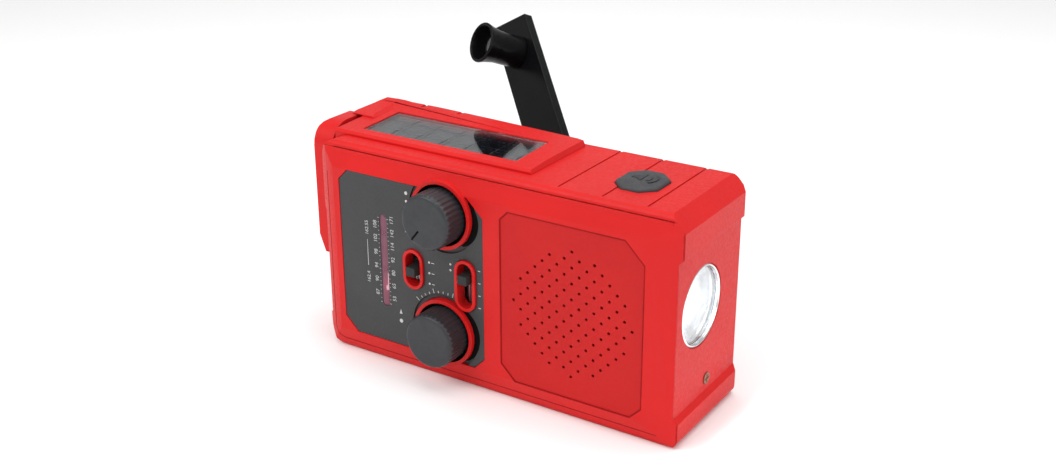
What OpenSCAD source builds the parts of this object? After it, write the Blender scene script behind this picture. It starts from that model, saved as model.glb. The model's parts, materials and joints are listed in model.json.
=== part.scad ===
// Hand-cranked emergency radio with a solar panel, an end lamp, a slide-rule dial and a
// perforated speaker panel. Millimetres, +Z up, front face towards -Y, lamp end towards +X.
// The origin is on the table, 22.2 mm behind the front face and 71 mm in from the lamp end.

/* [Case] */
// Length of the case between its end bumpers
case_length = 145; // [145:0.5:147]
// Depth of the case, front face to back face
case_depth = 47.6; // [47.2:0.2:49]
// Height of the case to its top face
case_height = 80.6; // [80:0.2:82]
// Wall thickness of the two shells
wall = 2; // [1.8:0.1:2.2]
// How far the middle of each end face sits behind the bumpers
end_recess = 1.7; // [1:0.1:2]
// Gap along the joint between the two shells
seam_gap = 0.1; // [0.05:0.05:0.2]

/* [Front controls] */
// Radius of both round knobs
knob_radius = 9.9; // [9:0.1:10.2]
// How far the knobs stand out of the front face
knob_height = 10; // [8:0.5:12]
// Ridges around each knob
knob_ridges = 36; // [24:1:44]
// Height of the volume knob's axis
volume_z = 63.5; // [62:0.5:64]
// Height of the tuning knob's axis
tuning_z = 19.6; // [19:0.2:20]
// How far the switch levers stand out of the front face
lever_height = 3; // [2:0.5:6]

/* [Speaker] */
// Spacing of the hole columns in the speaker panel
hole_pitch = 2.8; // [2.8:0.1:3.2]
// Radius of each speaker hole
hole_radius = 0.55; // [0.4:0.05:0.7]
// Radius of the round field of holes
hole_field_radius = 22.4; // [20:0.2:22.6]

/* [Crank] */
// Rest angle of the folded crank above the horizontal
crank_turn = 41; // [38:1:42]
// Rest angle between the crank arm and the back face
crank_open = 33.7; // [30:0.1:60]
// Distance from the crank's turning axis to its fold pin
pin_offset = 12; // [12:0.1:12.4]
// Length of the crank arm along its upper edge
arm_length = 65; // [62:1:66]
// Extra length of the arm's lower edge, past the slanted tip
arm_slant = 8.9; // [6:0.1:10]
// Width of the crank arm
arm_width = 19; // [18:0.5:20]
// Thickness of the crank arm
arm_thick = 3.5; // [3:0.1:3.6]
// Length of the crank's hand knob
crank_knob_length = 17.2; // [15:0.1:17.2]

/* [Gears] */
// Tooth size of the charging gears
gear_module = 0.75; // [0.75:0.01:0.76]
// Teeth on the crank's drive gear
drive_teeth = 30; // [30:1:30]
// Teeth on the wheel of the idler gear
idler_teeth = 36; // [36:1:36]
// Teeth on both pinions
pinion_teeth = 12; // [12:1:12]

/* [Hidden] */
$fn = 48;

// Main planes of the case
end_x = case_length / 2 - 1.5;
left_x = case_length / 2 + 1.5;
left_recess = 1;
front_y = -22.2;
back_y = front_y + case_depth;
seam_y = front_y + 2.3;
cover_inner_y = seam_y + 1.5;
inner_back_y = back_y - wall;
run_gap = 0.05;

// Dial plate and speaker panel, as places on the front face
plate_left = -63.6;
plate_right = -2.1;
plate_low = 9;
plate_high = 71.4;
plate_thick = 1.4;
panel_left = 5;
panel_right = 58.5;
panel_low = 8.6;
panel_high = 69.6;
panel_thick = 1.2;
inset = 0.2;
fit_gap = 0.1;

// Front controls
knob_x = -18.6;
collar_radius = 12.3;
collar_inner = 11;
collar_proud = 1.4;
shaft_radius = 3;
knob_base_y = front_y + 0.6;
knob_face_y = front_y - knob_height;
board_y = -8;
board_thick = 1.6;
band_x = -31.4;
band_z = 40.3;
band_half = 7.4;
function_x = -9.4;
function_z = 39.3;
function_half = 9.4;
function_rest_z = 42.4;
slot_outer = 4.2;
slot_rim = 1.1;
lever_half = 2;

// Dial pointer and its cord drive
window_x = -44.5;
window_low = 22.8;
window_high = 57.8;
window_half = 1.5;
pointer_z = 29.4;
rail_x = -49.5;
rail_y = -16.6;
rail_radius = 0.8;
drum_radius = 8;
cord_y = -16.8;
cord_thick = 0.5;
cord_left = -46.5;
cord_right = -43.5;
cord_top = 62;

// Speaker
speaker_x = 32.4;
speaker_z = 39;
speaker_opening = 23;
speaker_back_y = cover_inner_y + 16;

// Lamp
lamp_y = -2.2;
lamp_z = 44;
lamp_radius = 14;
lamp_wall_x = end_x - end_recess;
lamp_rim_x = lamp_wall_x - 1;
lamp_screw_y = 3.6;
lamp_screw_z = 15.3;

// Top face
frame_left = -72;
frame_right = 11.4;
frame_front = -13;
frame_back = 22.2;
brim_left = -76.5;
cell_left = -63.2;
cell_right = 2.2;
cell_front = -8;
cell_back = 12.6;
window_rise = 1.5;
window_slope = 0.042;
button_x = 45.4;
button_y = 0.3;
button_travel = 1.2;
groove_first = 24.4;
groove_step = 16.2;

// Left end
port_pin_x = -left_x - 2.6;
port_pin_z = 33;
port_cover_left = -left_x - 9;
port_cover_top = 82.7;
port_half = 12.5;

// Ferrite aerial
aerial_y = -1.4;
aerial_z = 32;

// Battery
battery_radius = 9.1;
battery_length = 65;
battery_x = -27;
battery_y = 9.5;
battery_z = 15.4;
tray_right = 7.4;
door_left = -62;
door_right = 13.4;
door_low = 4.6;
door_high = 26.2;
door_thick = 1.2;

// Crank and its gear train
hub_x = 3.7;
hub_z = 61.7;
pin_y = back_y + 3;
hub_radius = 9.1;
hub_recess_radius = 12.8;
hub_recess_y = back_y - 2;
lug_half = 4;
knuckle_radius = 2.5;
pin_radius = 1.2;
arm_knob_inset = 12.1;
pocket_radius = 8.5;
pocket_mouth = 10.6;
pocket_x = hub_x - pin_offset - arm_length + arm_knob_inset;
pocket_floor_y = back_y + 1 - crank_knob_length - 1;
crank_shaft_radius = 2.5;
idler_x = hub_x + gear_module * (drive_teeth + pinion_teeth) / 2 * cos(-60);
idler_z = hub_z + gear_module * (drive_teeth + pinion_teeth) / 2 * sin(-60);
rotor_x = idler_x + gear_module * (idler_teeth + pinion_teeth) / 2 * cos(-40);
rotor_z = idler_z + gear_module * (idler_teeth + pinion_teeth) / 2 * sin(-40);
layer_a = 6.4;
layer_b = 10;
gear_thick = 3;
plate_y = 4;
gear_plate_thick = 1.6;
can_radius = 12;
can_front = layer_b;
can_back = inner_back_y - 0.3;

// Fasteners
boss_places = [[61, 70], [61, 9], [-58, 41.5], [18, 9.5]];
board_places = [[-3.5, 12], [-3.5, 71]];
plate_posts = [[-8, 46], [34, 58], [9, 30]];
screw_radius = 1.4;
boss_radius = 3;

// --- Helpers ---------------------------------------------------------------------------

// Points along an arc of a circle
function arc(cx, cy, r, a0, a1, steps = 6) =
    [for (i = [0:steps]) let (a = a0 + (a1 - a0) * i / steps) [cx + r * cos(a), cy + r * sin(a)]];

// Extrudes an outline drawn in X and Z from y0 back to y1
module slab_y(y0, y1) {
    translate([0, y1, 0]) rotate([90, 0, 0]) linear_extrude(y1 - y0) children();
}

// Extrudes an outline drawn in Y and Z from x0 to x1
module slab_x(x0, x1) {
    translate([x0, 0, 0]) rotate([90, 0, 90]) linear_extrude(x1 - x0) children();
}

// Extrudes an outline drawn in X and Y from z0 to z1
module slab_z(z0, z1) {
    translate([0, 0, z0]) linear_extrude(z1 - z0) children();
}

// Round bar along Y
module bar_y(x, z, y0, y1, r) {
    translate([x, y0, z]) rotate([-90, 0, 0]) cylinder(h = y1 - y0, r = r);
}

// Round bar along X
module bar_x(y, z, x0, x1, r) {
    translate([x0, y, z]) rotate([0, 90, 0]) cylinder(h = x1 - x0, r = r);
}

// Round bar along Z
module bar_z(x, y, z0, z1, r) {
    translate([x, y, z0]) cylinder(h = z1 - z0, r = r);
}

// Block between two corners
module block(low, high) {
    translate(low) cube(high - low);
}

// Flat outline with a straight cut at each corner, in the order low left, low right,
// high right, high left
module cut_rect(left, low, right, high, cuts) {
    polygon([
        [left, low + cuts[0]], [left + cuts[0], low],
        [right - cuts[1], low], [right, low + cuts[1]],
        [right, high - cuts[2]], [right - cuts[2], high],
        [left + cuts[3], high], [left, high - cuts[3]]
    ]);
}

// Upright slot outline with round ends, of half width w and half height h
module slot_outline(x, z, w, h) {
    translate([x, z - h + w]) circle(r = w);
    translate([x, z + h - w]) circle(r = w);
    translate([x - w, z - h + w]) square([2 * w, 2 * (h - w)]);
}

// Involute of a circle of radius r, unrolled by an angle t in degrees
function involute(r, t) = [
    r * (cos(t) + t * PI / 180 * sin(t)),
    r * (sin(t) - t * PI / 180 * cos(t))
];
function turned(p, a) = [p[0] * cos(a) - p[1] * sin(a), p[0] * sin(a) + p[1] * cos(a)];
function unroll_angle(base, r) = sqrt(max(0, r * r / base / base - 1)) * 180 / PI;

// Spur gear outline with thinned teeth, so that meshed gears keep a small backlash.
// One tooth is centred on +X before the outline is turned by phase.
module gear_outline(teeth, phase) {
    pressure = 25;
    backlash = 0.16;
    pitch_r = teeth * gear_module / 2;
    base_r = pitch_r * cos(pressure);
    root_r = pitch_r - 1.2 * gear_module;
    tip_r = pitch_r + 0.92 * gear_module;
    start_r = max(base_r, root_r + 0.02);
    pitch_turn = unroll_angle(base_r, pitch_r);
    flank_turn = pitch_turn - atan(pitch_turn * PI / 180);
    half_tooth = 90 / teeth - backlash / pitch_r * 90 / PI + flank_turn;
    steps = 3;
    radii = [for (i = [0:steps]) start_r + (tip_r - start_r) * i / steps];
    flank = [for (r = radii) turned(involute(base_r, unroll_angle(base_r, r)), -half_tooth)];
    low = turned([root_r, 0], -half_tooth);
    tooth = concat([low], flank, [for (i = [steps:-1:0]) [flank[i][0], -flank[i][1]]],
                   [[low[0], -low[1]]]);
    polygon([for (k = [0:teeth - 1]) each [for (p = tooth) turned(p, phase + 360 / teeth * k)]]);
}

// Gear disc on an axis along Y
module gear(x, z, y0, teeth, phase) {
    translate([x, 0, z]) slab_y(y0, y0 + gear_thick) gear_outline(teeth, phase);
}

// --- Case --------------------------------------------------------------------------------

// Outline of the case seen from the front, with end bumpers above and below each recess
module case_outline() {
    step = end_recess;
    polygon(concat(
        arc(-left_x + 9, 9, 9, 180, 270),
        arc(end_x - 4, 4, 4, 270, 360),
        [[end_x, 9.4], [end_x - step, 9.4 + step], [end_x - step, 66.6 - step], [end_x, 66.6]],
        [[end_x, case_height - 5.5], [end_x - 5, case_height]],
        arc(-left_x + 8, case_height - 8, 8, 90, 180),
        [[-left_x, 54], [-left_x + left_recess, 54 - left_recess],
         [-left_x + left_recess, 11.6 + left_recess], [-left_x, 11.6]]
    ));
}

// Side view of the case: the front's upper and lower borders lean back
module case_profile() {
    polygon(concat(
        [[front_y, 8.5], [seam_y, 0.9], [seam_y + 1, 0], [back_y - 1.4, 0], [back_y, 1.4]],
        arc(back_y - 2, case_height - 2, 2, 0, 90, 4),
        arc(seam_y + 2.2, case_height - 2.2, 2.2, 90, 180, 4),
        [[seam_y, 78.4], [front_y, 71.6]]
    ));
}

// Top view of the case: the front's left and right borders lean back
module case_plan() {
    polygon([
        [-66.2, front_y], [60, front_y], [end_x, seam_y], [end_x, back_y - 1.6],
        [end_x - 1.6, back_y], [-left_x + 1.6, back_y], [-left_x, back_y - 1.6],
        [-left_x, seam_y + 1.5], [-left_x + 3.5, seam_y - 0.6]
    ]);
}

module case_solid() {
    intersection() {
        slab_y(front_y - 1, back_y + 1) case_outline();
        slab_x(-left_x - 1, end_x + 1) case_profile();
        slab_z(-1, case_height + 1) case_plan();
    }
}

// Shallow grooves that wrap over the top, the back's upper edge and the base
module wrap_grooves() {
    width = 0.7;
    depth = 0.5;
    for (i = [-5:2]) translate([groove_first + groove_step * i - width / 2, 0, 0]) {
        block([0, seam_y + 1.5, -1], [width, back_y + 1, depth]);
        if (i >= 0) block([0, seam_y + 2.4, case_height - depth], [width, back_y + 1, 90]);
        if (i >= 0) block([-0.3, back_y - 2.4, case_height - 1.1], [width + 0.3, back_y + 1, 90]);
    }
}

module rear_housing() color("#d92b2b") {
    half = end_x - end_recess - wall;
    difference() {
        union() {
            difference() {
                case_solid();
                block([-90, -40, -5], [90, seam_y + seam_gap / 2, 100]);
                block([-half, -40, wall], [half, inner_back_y, case_height - wall - 0.2]);
            }
            // Round seat for the crank's bush
            bar_y(hub_x, hub_z, hub_recess_y - 4.2, inner_back_y + 0.5, hub_recess_radius + 1.4);
            // Pocket that takes the folded hand knob
            bar_y(pocket_x, hub_z, pocket_floor_y - wall, inner_back_y + 0.5, pocket_mouth + 0.4);
            // Posts that carry the gear plate
            for (p = plate_posts)
                bar_y(p[0], p[1], plate_y + gear_plate_thick, inner_back_y + 0.5, boss_radius);
            // Ring that holds the generator, and the boss of the battery door's screw
            bar_y(rotor_x, rotor_z, can_back - 5, inner_back_y + 0.5, can_radius + 1.4);
            bar_y(door_right - 3.2, (door_low + door_high) / 2, 16, inner_back_y + 0.5, 2.4);
            // Seat of the idler's axle
            bar_y(idler_x, idler_z, layer_b + gear_thick + 1, inner_back_y + 0.5, boss_radius);
            // Hangers for the button's board
            for (side = [-1, 1])
                bar_z(button_x + side * 10.5, button_y, 73.5, case_height - wall, 1.4);
        }
        bar_y(hub_x, hub_z, hub_recess_y, back_y + 2, hub_recess_radius);
        bar_y(hub_x, hub_z, 0, back_y + 2, 4.5);
        translate([pocket_x, pocket_floor_y, hub_z]) rotate([-90, 0, 0])
            cylinder(h = back_y - pocket_floor_y + 0.01, r1 = pocket_radius, r2 = pocket_mouth);
        bar_y(idler_x, idler_z, layer_b, inner_back_y - 1, 1.5);
        for (p = plate_posts) bar_y(p[0], p[1], 0, inner_back_y - 2, screw_radius);
        for (p = boss_places) {
            bar_y(p[0], p[1], 0, back_y + 2, screw_radius + 0.2);
            bar_y(p[0], p[1], back_y - 1.2, back_y + 2, 2.8);
        }
        // Lamp opening, lamp screw and port opening in the two ends
        bar_x(lamp_y, lamp_z, 60, 90, lamp_radius + 0.1);
        bar_x(lamp_screw_y, lamp_screw_z, 60, 90, 1.1);
        bar_x(lamp_screw_y, lamp_screw_z, lamp_wall_x - 0.7, 90, 2.2);
        block([-90, -9, 43], [-60, 3, 73]);
        // Battery door opening, with a ledge round it
        slab_y(inner_back_y - 1, back_y + 2) cut_rect(door_left + 2, door_low + 1.5, door_right - 7,
                                                      door_high - 1.5, [1, 1, 1, 1]);
        slab_y(back_y - door_thick - 0.1, back_y + 2)
            cut_rect(door_left - fit_gap, door_low - fit_gap, door_right + fit_gap,
                     door_high + fit_gap, [2, 2, 2, 2]);
        bar_y(door_right - 3.2, (door_low + door_high) / 2, 0, back_y + 2, 1.25);
        bar_y(rotor_x, rotor_z, 0, can_back + 0.1, can_radius + 0.1);
        // Octagonal button opening and the solar cell's wire hole
        slab_z(70, 90) button_outline(0.15);
        bar_z(-20, 5, 70, 90, 2);
        wrap_grooves();
    }
}

module front_cover() color("#de3030") {
    half = end_x - end_recess - wall - 0.3;
    difference() {
        union() {
            intersection() {
                case_solid();
                block([-90, -40, -5], [90, seam_y - seam_gap / 2, 100]);
            }
            block([-half, seam_y - 0.5, wall + 0.3], [half, cover_inner_y, case_height - wall - 0.5]);
            for (z = [volume_z, tuning_z])
                bar_y(knob_x, z, front_y - collar_proud, cover_inner_y, collar_radius);
            switch_rim(band_x, band_z, band_half);
            switch_rim(function_x, function_z, function_half);
            for (p = boss_places) bar_y(p[0], p[1], seam_y, inner_back_y - 0.1, boss_radius);
            for (p = board_places) bar_y(p[0], p[1], seam_y, board_y - 0.05, 2.4);
            // Posts that the dial cord runs round, and the two ends of the pointer's rail
            for (p = cord_posts()) bar_y(p[0], p[1], seam_y, cord_y + 0.4, 1.2);
            for (z = [14, 66])
                block([rail_x - 2, seam_y, z - 1.5], [rail_x + 2, rail_y + 2, z + 1.5]);
        }
        difference() {
            slab_y(front_y - 1, seam_y - 0.75)
                cut_rect(plate_left - fit_gap, plate_low - fit_gap, plate_right + fit_gap,
                         plate_high + fit_gap, [5.4, 4.3, 6.3, 3.9]);
            for (z = [volume_z, tuning_z]) bar_y(knob_x, z, -40, 0, collar_radius);
            switch_rim(band_x, band_z, band_half);
            switch_rim(function_x, function_z, function_half);
        }
        slab_y(front_y - 1, front_y + inset + panel_thick + fit_gap)
            cut_rect(panel_left - fit_gap, panel_low - fit_gap, panel_right + fit_gap,
                     panel_high + fit_gap, [5.5, 4, 7, 3]);
        for (z = [volume_z, tuning_z]) {
            bar_y(knob_x, z, front_y - 5, front_y + 1.2, collar_inner);
            bar_y(knob_x, z, -40, 0, shaft_radius + 0.4);
        }
        for (s = [[band_x, band_z, band_half], [function_x, function_z, function_half]])
            slab_y(-40, 0) slot_outline(s[0], s[1], slot_outer - slot_rim, s[2] - slot_rim);
        slab_y(-40, 0) slot_outline(window_x, (window_low + window_high) / 2, window_half + 0.3,
                                    (window_high - window_low) / 2 + 0.3);
        bar_y(speaker_x, speaker_z, -40, 0, speaker_opening);
        bar_z(rail_x, rail_y, 13, 67, rail_radius + 0.02);
        for (p = boss_places) bar_y(p[0], p[1], 0, 30, screw_radius - 0.2);
        for (p = board_places) bar_y(p[0], p[1], -17, 0, 1.1);
    }
}

// Raised stadium rim around a switch slot
module switch_rim(x, z, half) {
    slab_y(front_y - 0.7, cover_inner_y) slot_outline(x, z, slot_outer, half);
}

function cord_posts() = [
    [cord_left + 1.5, cord_top], [cord_left + 1.5, tuning_z - drum_radius + 1.25],
    [cord_right + 1.85, tuning_z + drum_radius + 1.85]
];

module dial_plate() color("#3a3a3c") {
    difference() {
        slab_y(front_y + inset, front_y + inset + plate_thick - 0.1)
            cut_rect(plate_left, plate_low, plate_right, plate_high, [5.4, 4.3, 6.3, 3.9]);
        for (z = [volume_z, tuning_z]) {
            bar_y(knob_x, z, -40, 0, collar_radius + fit_gap);
            bar_y(knob_x, z, -40, front_y + inset + 0.8, collar_radius + 1.7);
        }
        slab_y(-40, 0) slot_outline(band_x, band_z, slot_outer + fit_gap, band_half + fit_gap);
        slab_y(-40, 0)
            slot_outline(function_x, function_z, slot_outer + fit_gap, function_half + fit_gap);
        slab_y(-40, 0) slot_outline(window_x, (window_low + window_high) / 2, window_half,
                                    (window_high - window_low) / 2);
    }
}

module dial_window() color("#7d5564") {
    slab_y(front_y + inset + 0.15, front_y + inset + 0.9)
        slot_outline(window_x, (window_low + window_high) / 2, window_half - 0.05,
                     (window_high - window_low) / 2 - 0.05);
}

// --- Tuning drive ----------------------------------------------------------------------

module dial_pointer() color("#f0ece4") {
    difference() {
        union() {
            block([rail_x - 1.6, rail_y - 1.5, pointer_z - 2.5], [rail_x + 1.6, rail_y + 1.5, pointer_z + 2.5]);
            block([rail_x, rail_y - 1.3, pointer_z - 0.8], [window_x + 0.6, rail_y + 1, pointer_z + 0.8]);
            block([window_x - 0.6, front_y + inset + 1.1, pointer_z - 0.8],
                  [window_x + 0.6, rail_y - 1, pointer_z + 0.8]);
        }
        bar_z(rail_x, rail_y, 0, 70, rail_radius + run_gap);
        for (x = [cord_left, cord_right])
            block([x - 0.6, cord_y - 0.4, 0], [x + 0.6, 0, 70]);
    }
}

module pointer_rail() color("#b8bcc0") {
    bar_z(rail_x, rail_y, 13.2, 66.8, rail_radius);
}

// The region that the dial cord runs round
module cord_region(grow) {
    low = tuning_z - drum_radius - grow;
    high = tuning_z + drum_radius + grow;
    left = cord_left - grow;
    right = cord_right + grow;
    polygon(concat(
        [[knob_x, low]],
        arc(knob_x, tuning_z, drum_radius + grow, -90, 90, 14),
        [[right + 0.01, high], [right, high + 0.01]],
        arc(cord_left + 1.5, cord_top, 1.5 + grow, 0, 180, 8),
        arc(cord_left + 1.5, low + 1.5 + grow, 1.5 + grow, 180, 270, 4)
    ));
}

module dial_cord() color("#e8e2d0") {
    slab_y(cord_y - cord_thick / 2, cord_y + cord_thick / 2) difference() {
        cord_region(0.05 + cord_thick);
        cord_region(0.05);
    }
}

module cord_drum() color("#f2f0ea") {
    difference() {
        union() {
            bar_y(knob_x, tuning_z, cord_y - 0.9, cord_y + 0.9, drum_radius - 0.05);
            for (y = [cord_y - 1.5, cord_y + 0.6])
                bar_y(knob_x, tuning_z, y, y + 0.9, drum_radius + 0.9);
        }
        bar_y(knob_x, tuning_z, -30, 0, shaft_radius + 0.02);
        for (a = [30:60:330])
            bar_y(knob_x + 5.4 * cos(a), tuning_z + 5.4 * sin(a), -30, 0, 1.3);
    }
}

module control_shaft(z) {
    difference() {
        bar_y(knob_x, z, knob_face_y + 3, board_y - 1.5, shaft_radius);
        block([knob_x + 1.8, knob_face_y + 2, z - 4], [knob_x + 4, front_y + 0.5, z + 4]);
    }
}

module tuning_shaft() color("#c9b37a") control_shaft(tuning_z);

module volume_shaft() color("#c9b37a") control_shaft(volume_z);

// Body of a rotary control that stands on the main board
module rotary_body(z, front, half) {
    difference() {
        block([knob_x - half, front, z - half], [knob_x + half, board_y - 0.05, z + half]);
        bar_y(knob_x, z, -30, board_y - 1, shaft_radius + run_gap);
    }
}

module tuning_capacitor() color("#e9e4d4") rotary_body(tuning_z, cord_y + 2.2, 9.5);

module volume_potentiometer() color("#8d9096") rotary_body(volume_z, cord_y + 2.2, 7);

// Ridged round knob with a flat face; the pointer notch is cut at the given angle
module ridged_knob(z, notch_angle) {
    step = 360 / knob_ridges;
    translate([knob_x, 0, z]) difference() {
        union() {
            slab_y(knob_face_y + 1.2, knob_base_y) polygon([
                for (i = [0:knob_ridges - 1]) each [
                    for (s = [[-0.28, -0.45], [-0.2, 0], [0.2, 0], [0.28, -0.45]])
                        let (a = (i + s[0]) * step) (knob_radius + s[1]) * [cos(a), sin(a)]
                ]
            ]);
            bar_y(0, 0, knob_face_y, knob_face_y + 1.5, knob_radius - 0.5);
        }
        bar_y(0, 0, knob_face_y + 2.5, 0, shaft_radius + 0.02);
        rotate([0, -notch_angle, 0])
            block([knob_radius - 4, knob_face_y - 1, -0.5], [knob_radius + 1, knob_face_y + 0.6, 0.5]);
    }
}

module tuning_knob() color("#2c2d30") ridged_knob(tuning_z, 60);

module volume_knob() color("#2c2d30") ridged_knob(volume_z, 225);

// --- Slide switches ------------------------------------------------------------------------

// Lever with a slider plate behind the front cover
module slide_lever(x, z) {
    block([x - 1.3, front_y - lever_height, z - 1.7], [x + 2.5, cover_inner_y + 0.15, z + 1.7]);
    block([x - 3.6, cover_inner_y + 0.1, z - 2.6], [x + 3.6, cover_inner_y + 0.9, z + 2.6]);
    block([x - 1.2, cover_inner_y + 0.8, z - 1.2], [x + 1.2, cover_inner_y + 3.6, z + 1.2]);
}

module band_lever() color("#6b6f73") slide_lever(band_x, band_z);

module function_lever() color("#6b6f73") slide_lever(function_x, function_rest_z);

// Switch body on the main board, with a slot for the lever's foot
module slide_switch(x, z, half) {
    front = cover_inner_y + 1.3;
    difference() {
        block([x - 3.6, front, z - half], [x + 3.6, board_y - 0.05, z + half]);
        block([x - 1.5, front - 1, z - half + 1.5], [x + 1.5, front + 4, z + half - 1.5]);
    }
}

module band_switch() color("#9aa0a4") slide_switch(band_x, band_z, 8);

module function_switch() color("#9aa0a4") slide_switch(function_x, function_z, 10);

module main_board() color("#2f6b3c") {
    difference() {
        union() {
            slab_y(board_y, board_y + board_thick) cut_rect(-41, 9, 0, 74, [1, 1, 1, 1]);
            // Two clips that hold the ferrite rod
            for (x = [-36, -18]) block([x - 1.5, board_y + 1, aerial_z - 5],
                                       [x + 1.5, aerial_y + 1.5, aerial_z + 5]);
        }
        for (p = board_places) bar_y(p[0], p[1], -20, 0, 1.4);
        bar_x(aerial_y, aerial_z, -45, 0, 4.03);
    }
}

// --- Speaker -------------------------------------------------------------------------------

module speaker_grille() color("#d42c2c") {
    difference() {
        slab_y(front_y + inset, front_y + inset + panel_thick)
            cut_rect(panel_left, panel_low, panel_right, panel_high, [5.5, 4, 7, 3]);
        for (i = [-8:8], j = [-8:8])
            if ((i + j) % 2 == 0 && norm([i, j]) * hole_pitch <= hole_field_radius)
                bar_y(speaker_x + i * hole_pitch, speaker_z + j * hole_pitch, -40, 0, hole_radius,
                      $fn = 16);
    }
}

// Turns an outline of radius and depth about the speaker's axis
module speaker_turned() {
    translate([speaker_x, cover_inner_y + 0.1, speaker_z]) rotate([-90, 0, 0]) rotate_extrude()
        children();
}

module speaker_frame() color("#4a4c50") {
    speaker_turned() polygon([
        [23, 0], [25.4, 0], [25.4, 1.4], [24, 1.4], [14.5, 9], [14.5, 9.9], [5, 9.9], [5, 9],
        [13.4, 9], [23, 1.4]
    ]);
}

module speaker_magnet() color("#7d8084") {
    difference() {
        speaker_turned() polygon([[0, 10], [13, 10], [13, 15.9], [0, 15.9]]);
        speaker_turned() polygon([[3.9, 9], [4.9, 9], [4.9, 14], [3.9, 14]]);
    }
}

module speaker_cone() color("#2a2a2c") {
    speaker_turned() polygon([
        [0, 4.4], [3, 4.9], [6, 6.4], [20, 1], [21.2, 0.3], [22.6, 1], [22.6, 1.6], [21.2, 0.9],
        [20.2, 1.6], [4.8, 7.6], [4.8, 12], [4.4, 12], [4.4, 6.2], [3, 5.4], [0, 4.9]
    ]);
}

// --- Top face ----------------------------------------------------------------------------

// Height of the frame's sloping inner edge at a given depth
function window_plane(y) = case_height + window_rise + (y - frame_front - 1) * window_slope;

// Top view of the frame, wider behind the socket cover
module frame_plan() {
    polygon([
        [frame_left, frame_front], [frame_right, frame_front], [frame_right, frame_back],
        [brim_left + 2.5, frame_back], [brim_left, frame_back - 2.5], [brim_left, port_half + 0.7],
        [frame_left, port_half + 0.7]
    ]);
}

// Side view of the frame: a low front edge, a sloping window and a raised back rim
module frame_profile() {
    top = case_height;
    polygon([
        [frame_front, top - 5], [frame_back - 3, top - 5], [frame_back - 3, top + 0.02],
        [frame_back - 0.4, top + 0.02], [frame_back - 0.4, top + 3.2], [frame_back - 1.6, top + 4.5],
        [frame_back - 5, top + 4.1], [cell_back + 0.8, window_plane(cell_back + 0.8)],
        [frame_front + 1, window_plane(frame_front + 1)], [frame_front, top + 0.8]
    ]);
}

// Front view of the frame: its back rim falls slightly towards the lamp end
module frame_front_view() {
    top = case_height;
    difference() {
        polygon([
            [brim_left, top - 5], [frame_right, top - 5], [frame_right, top],
            [frame_right - 0.9, top + 2], [8, top + 2.3], [-24, top + 3.2], [-50, top + 4.1],
            [-63.5, top + 4.1], [-67, top + 4.6], [brim_left + 1.5, top + 4.2],
            [brim_left, top + 3.4]
        ]);
        translate([0, 0.02]) case_outline();
    }
}

// Raised left border of the frame, with a brim over the top of the socket cover
module frame_brim() {
    top = case_height;
    under = port_cover_top + 0.3;
    intersection() {
        slab_y(2, 20.5) polygon([
            [brim_left, under], [brim_left, top + 3.2], [brim_left + 1.2, top + 3.9],
            [-69, top + 4.1], [-66.5, top + 2.4], [-66.5, top + 0.5], [frame_left, top + 0.5],
            [frame_left, under]
        ]);
        slab_x(brim_left, -66) polygon([
            [2, top], [20.5, top], [20.5, top + 4.3], [14, top + 3.9], [5, top + 3.3],
            [2, top + 2.8]
        ]);
    }
}

module solar_frame() color("#dc2e2e") {
    difference() {
        union() {
            intersection() {
                slab_z(case_height - 6, case_height + 9) frame_plan();
                slab_x(brim_left - 1, frame_right + 1) frame_profile();
                slab_y(front_y, frame_back) frame_front_view();
            }
            frame_brim();
        }
        block([cell_left, cell_front, case_height - 1], [cell_right, cell_back, case_height + 9]);
        // Notches across the back rim, in line with the case's grooves
        for (i = [-5:-1]) translate([groove_first + groove_step * i, 0, 0])
            block([-0.7, frame_back - 4, case_height + (i < -3 ? 3.4 : 3.4 + (i + 3) * 0.6)],
                  [0.7, frame_back + 1, 99]);
    }
}

// Sheet in the frame's window, between two depths below the sloping inner edge
module window_sheet(gap, upper, lower) {
    y0 = cell_front + gap;
    y1 = cell_back - gap;
    slab_x(cell_left + gap, cell_right - gap) polygon([
        [y0, window_plane(y0) - lower], [y1, window_plane(y1) - lower],
        [y1, window_plane(y1) - upper], [y0, window_plane(y0) - upper]
    ]);
}

module solar_cell() color("#26292f") {
    intersection() {
        window_sheet(0.2, 0.95, 3);
        block([-80, -20, case_height + 0.05], [20, 20, 99]);
    }
}

module solar_glass() color("#3b4048") window_sheet(0.15, 0.35, 0.9);

// Octagon of the alarm button, grown all round
module button_outline(grow) {
    cut_rect(button_x - 7.8 - grow, button_y - 9.2 - grow, button_x + 7.8 + grow,
             button_y + 9.2 + grow, [4.6, 4.6, 4.6, 4.6]);
}

module alarm_button() color("#4b4c4e") {
    slab_z(case_height - 3.4, case_height + 0.9) button_outline(0);
    slab_z(case_height + 0.85, case_height + 1.5) button_outline(-0.9);
    slab_z(case_height - 4.2, case_height - 3.3) button_outline(1);
    bar_z(button_x, button_y, case_height - 5.2, case_height - 4, 2);
}

module alarm_switch() color("#2b2c2e") {
    block([button_x - 3, button_y - 3, 71.95], [button_x + 3, button_y + 3, 73.4]);
    bar_z(button_x, button_y, 73.3, 74, 1.6);
}

module button_board() color("#2f6b3c") {
    difference() {
        block([button_x - 12.2, button_y - 4, 70.4], [button_x + 12.2, button_y + 4, 71.9]);
        for (side = [-1, 1]) bar_z(button_x + side * 10.5, button_y, 60, 80, 0.8);
    }
    for (side = [-1, 1]) difference() {
        bar_z(button_x + side * 10.5, button_y, 71.8, 73.45, 1.4);
        bar_z(button_x + side * 10.5, button_y, 60, 80, 0.8);
    }
}

// --- Lamp ----------------------------------------------------------------------------------

// Turns an outline of radius and depth about the lamp's axis
module lamp_turned() {
    translate([0, lamp_y, lamp_z]) rotate([0, 90, 0]) rotate_extrude() children();
}

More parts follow.
